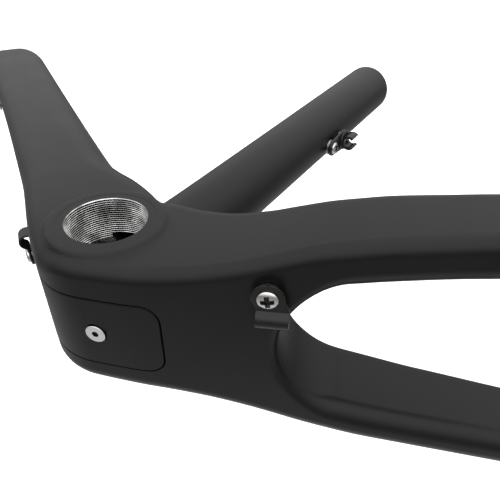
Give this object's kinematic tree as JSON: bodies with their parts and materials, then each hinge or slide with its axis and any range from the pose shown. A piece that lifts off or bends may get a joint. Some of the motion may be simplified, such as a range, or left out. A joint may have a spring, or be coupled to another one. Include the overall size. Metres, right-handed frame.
{
  "type": "bottom bracket shell junction",
  "caption": "Carbon bicycle-frame junction round an empty threaded bottom-bracket shell, with cut-off down tube, seat tube and chain stays, access cover and hose guides.",
  "frame": {"origin": "middle of the shell bore, on the crank axis", "axes": "+Z along the crank axis to the non-drive (left) side, +X to the rear wheel, +Y up towards the saddle"},
  "size_m": [0.4326, 0.3229, 0.1292],
  "materials": {
    "carbon": "satin black lacquer over carbon-fibre laminate",
    "sleeve_alloy": "machined, bare",
    "insert_alloy": "machined, bare",
    "screw_steel": "bright stainless",
    "guide_sheet": "black, slightly glossy",
    "guide_moulded": "black moulded"
  },
  "bodies": {
    "frame": {"bb_junction": "carbon", "down_tube": "carbon", "seat_tube": "carbon", "chainstay_left": "carbon", "chainstay_right": "carbon", "bb_sleeve": "sleeve_alloy", "cover_insert": "insert_alloy", "stay_guide": "guide_sheet", "stay_guide_insert": "insert_alloy", "down_guide_lower": "guide_sheet", "down_guide_lower_insert": "insert_alloy", "down_guide_upper": "guide_sheet", "down_guide_upper_insert": "insert_alloy", "seat_guide": "guide_moulded", "seat_guide_insert_lower": "insert_alloy", "seat_guide_insert_upper": "insert_alloy", "bottle_insert_lower": "insert_alloy", "bottle_insert_upper": "insert_alloy"},
    "cable_cover": {"cable_cover": "carbon"},
    "cover_screw": {"cover_screw": "screw_steel"},
    "stay_guide_screw": {"stay_guide_screw": "screw_steel"},
    "down_guide_lower_screw": {"down_guide_lower_screw": "screw_steel"},
    "down_guide_upper_screw": {"down_guide_upper_screw": "screw_steel"},
    "seat_guide_screw_lower": {"seat_guide_screw_lower": "screw_steel"},
    "seat_guide_screw_upper": {"seat_guide_screw_upper": "screw_steel"},
    "bottle_bolt_lower": {"bottle_bolt_lower": "screw_steel"},
    "bottle_bolt_upper": {"bottle_bolt_upper": "screw_steel"}
  },
  "joints": [
    {"name": "cover_lift", "type": "slide", "parent": "frame", "child": "cable_cover", "axis": [0, -1, 0], "range_m": [0, 0.04]},
    {"name": "cover_screw_out", "type": "slide", "parent": "cable_cover", "child": "cover_screw", "axis": [0, -1, 0], "range_m": [0, 0.0085]},
    {"name": "stay_guide_screw_out", "type": "slide", "parent": "frame", "child": "stay_guide_screw", "axis": [0.1142, -0.9935, 0], "range_m": [0, 0.01]},
    {"name": "down_guide_lower_screw_out", "type": "slide", "parent": "frame", "child": "down_guide_lower_screw", "axis": [-0.8062, -0.5916, 0], "range_m": [0, 0.01]},
    {"name": "down_guide_upper_screw_out", "type": "slide", "parent": "frame", "child": "down_guide_upper_screw", "axis": [-0.7591, -0.651, 0], "range_m": [0, 0.01]},
    {"name": "seat_guide_screw_lower_out", "type": "slide", "parent": "frame", "child": "seat_guide_screw_lower", "axis": [0.9563, -0.2924, 0], "range_m": [0, 0.01]},
    {"name": "seat_guide_screw_upper_out", "type": "slide", "parent": "frame", "child": "seat_guide_screw_upper", "axis": [0.9563, -0.2924, 0], "range_m": [0, 0.0035]},
    {"name": "bottle_bolt_lower_out", "type": "slide", "parent": "frame", "child": "bottle_bolt_lower", "axis": [0.7533, 0.6577, 0], "range_m": [0, 0.01]},
    {"name": "bottle_bolt_upper_out", "type": "slide", "parent": "frame", "child": "bottle_bolt_upper", "axis": [0.754, 0.6569, 0], "range_m": [0, 0.01]}
  ]
}
